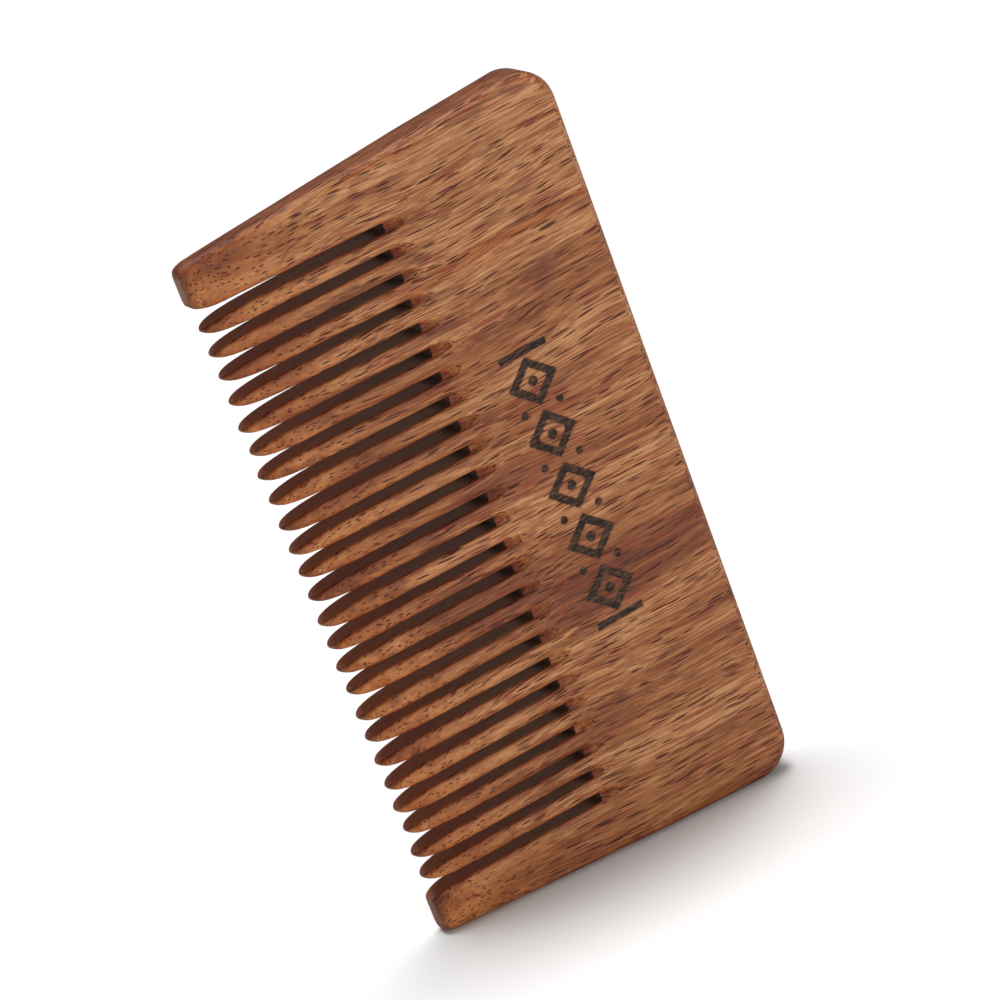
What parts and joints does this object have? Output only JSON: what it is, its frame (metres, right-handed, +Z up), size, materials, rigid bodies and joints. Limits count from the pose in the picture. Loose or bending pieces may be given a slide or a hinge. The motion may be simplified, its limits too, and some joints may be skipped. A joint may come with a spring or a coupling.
{
  "type": "beard comb",
  "caption": "Wooden pocket beard comb: a flat rounded back with a single row of tapered, round-tipped teeth between two wide end guards.",
  "frame": {"origin": "centre of the bounding box's base, under the comb as it stands flat on its lower end", "axes": "+Z up from the lower end it stands on, with the spine leaning 3.85 degrees back from +Z towards the tips, +X towards the spine and -X towards the tooth tips, -Y out of the front face"},
  "size_m": [0.0584, 0.007, 0.0998],
  "materials": {
    "wood": "oiled satin rosewood, open pores, grain along the teeth"
  },
  "bodies": {
    "root": {"comb_back": "wood", "upper_guard": "wood", "lower_guard": "wood", "tooth_01": "wood", "tooth_02": "wood", "tooth_03": "wood", "tooth_04": "wood", "tooth_05": "wood", "tooth_06": "wood", "tooth_07": "wood", "tooth_08": "wood", "tooth_09": "wood", "tooth_10": "wood", "tooth_11": "wood", "tooth_12": "wood", "tooth_13": "wood", "tooth_14": "wood", "tooth_15": "wood", "tooth_16": "wood", "tooth_17": "wood", "tooth_18": "wood", "tooth_19": "wood", "tooth_20": "wood", "tooth_21": "wood", "tooth_22": "wood", "tooth_23": "wood", "tooth_24": "wood"}
  },
  "joints": []
}
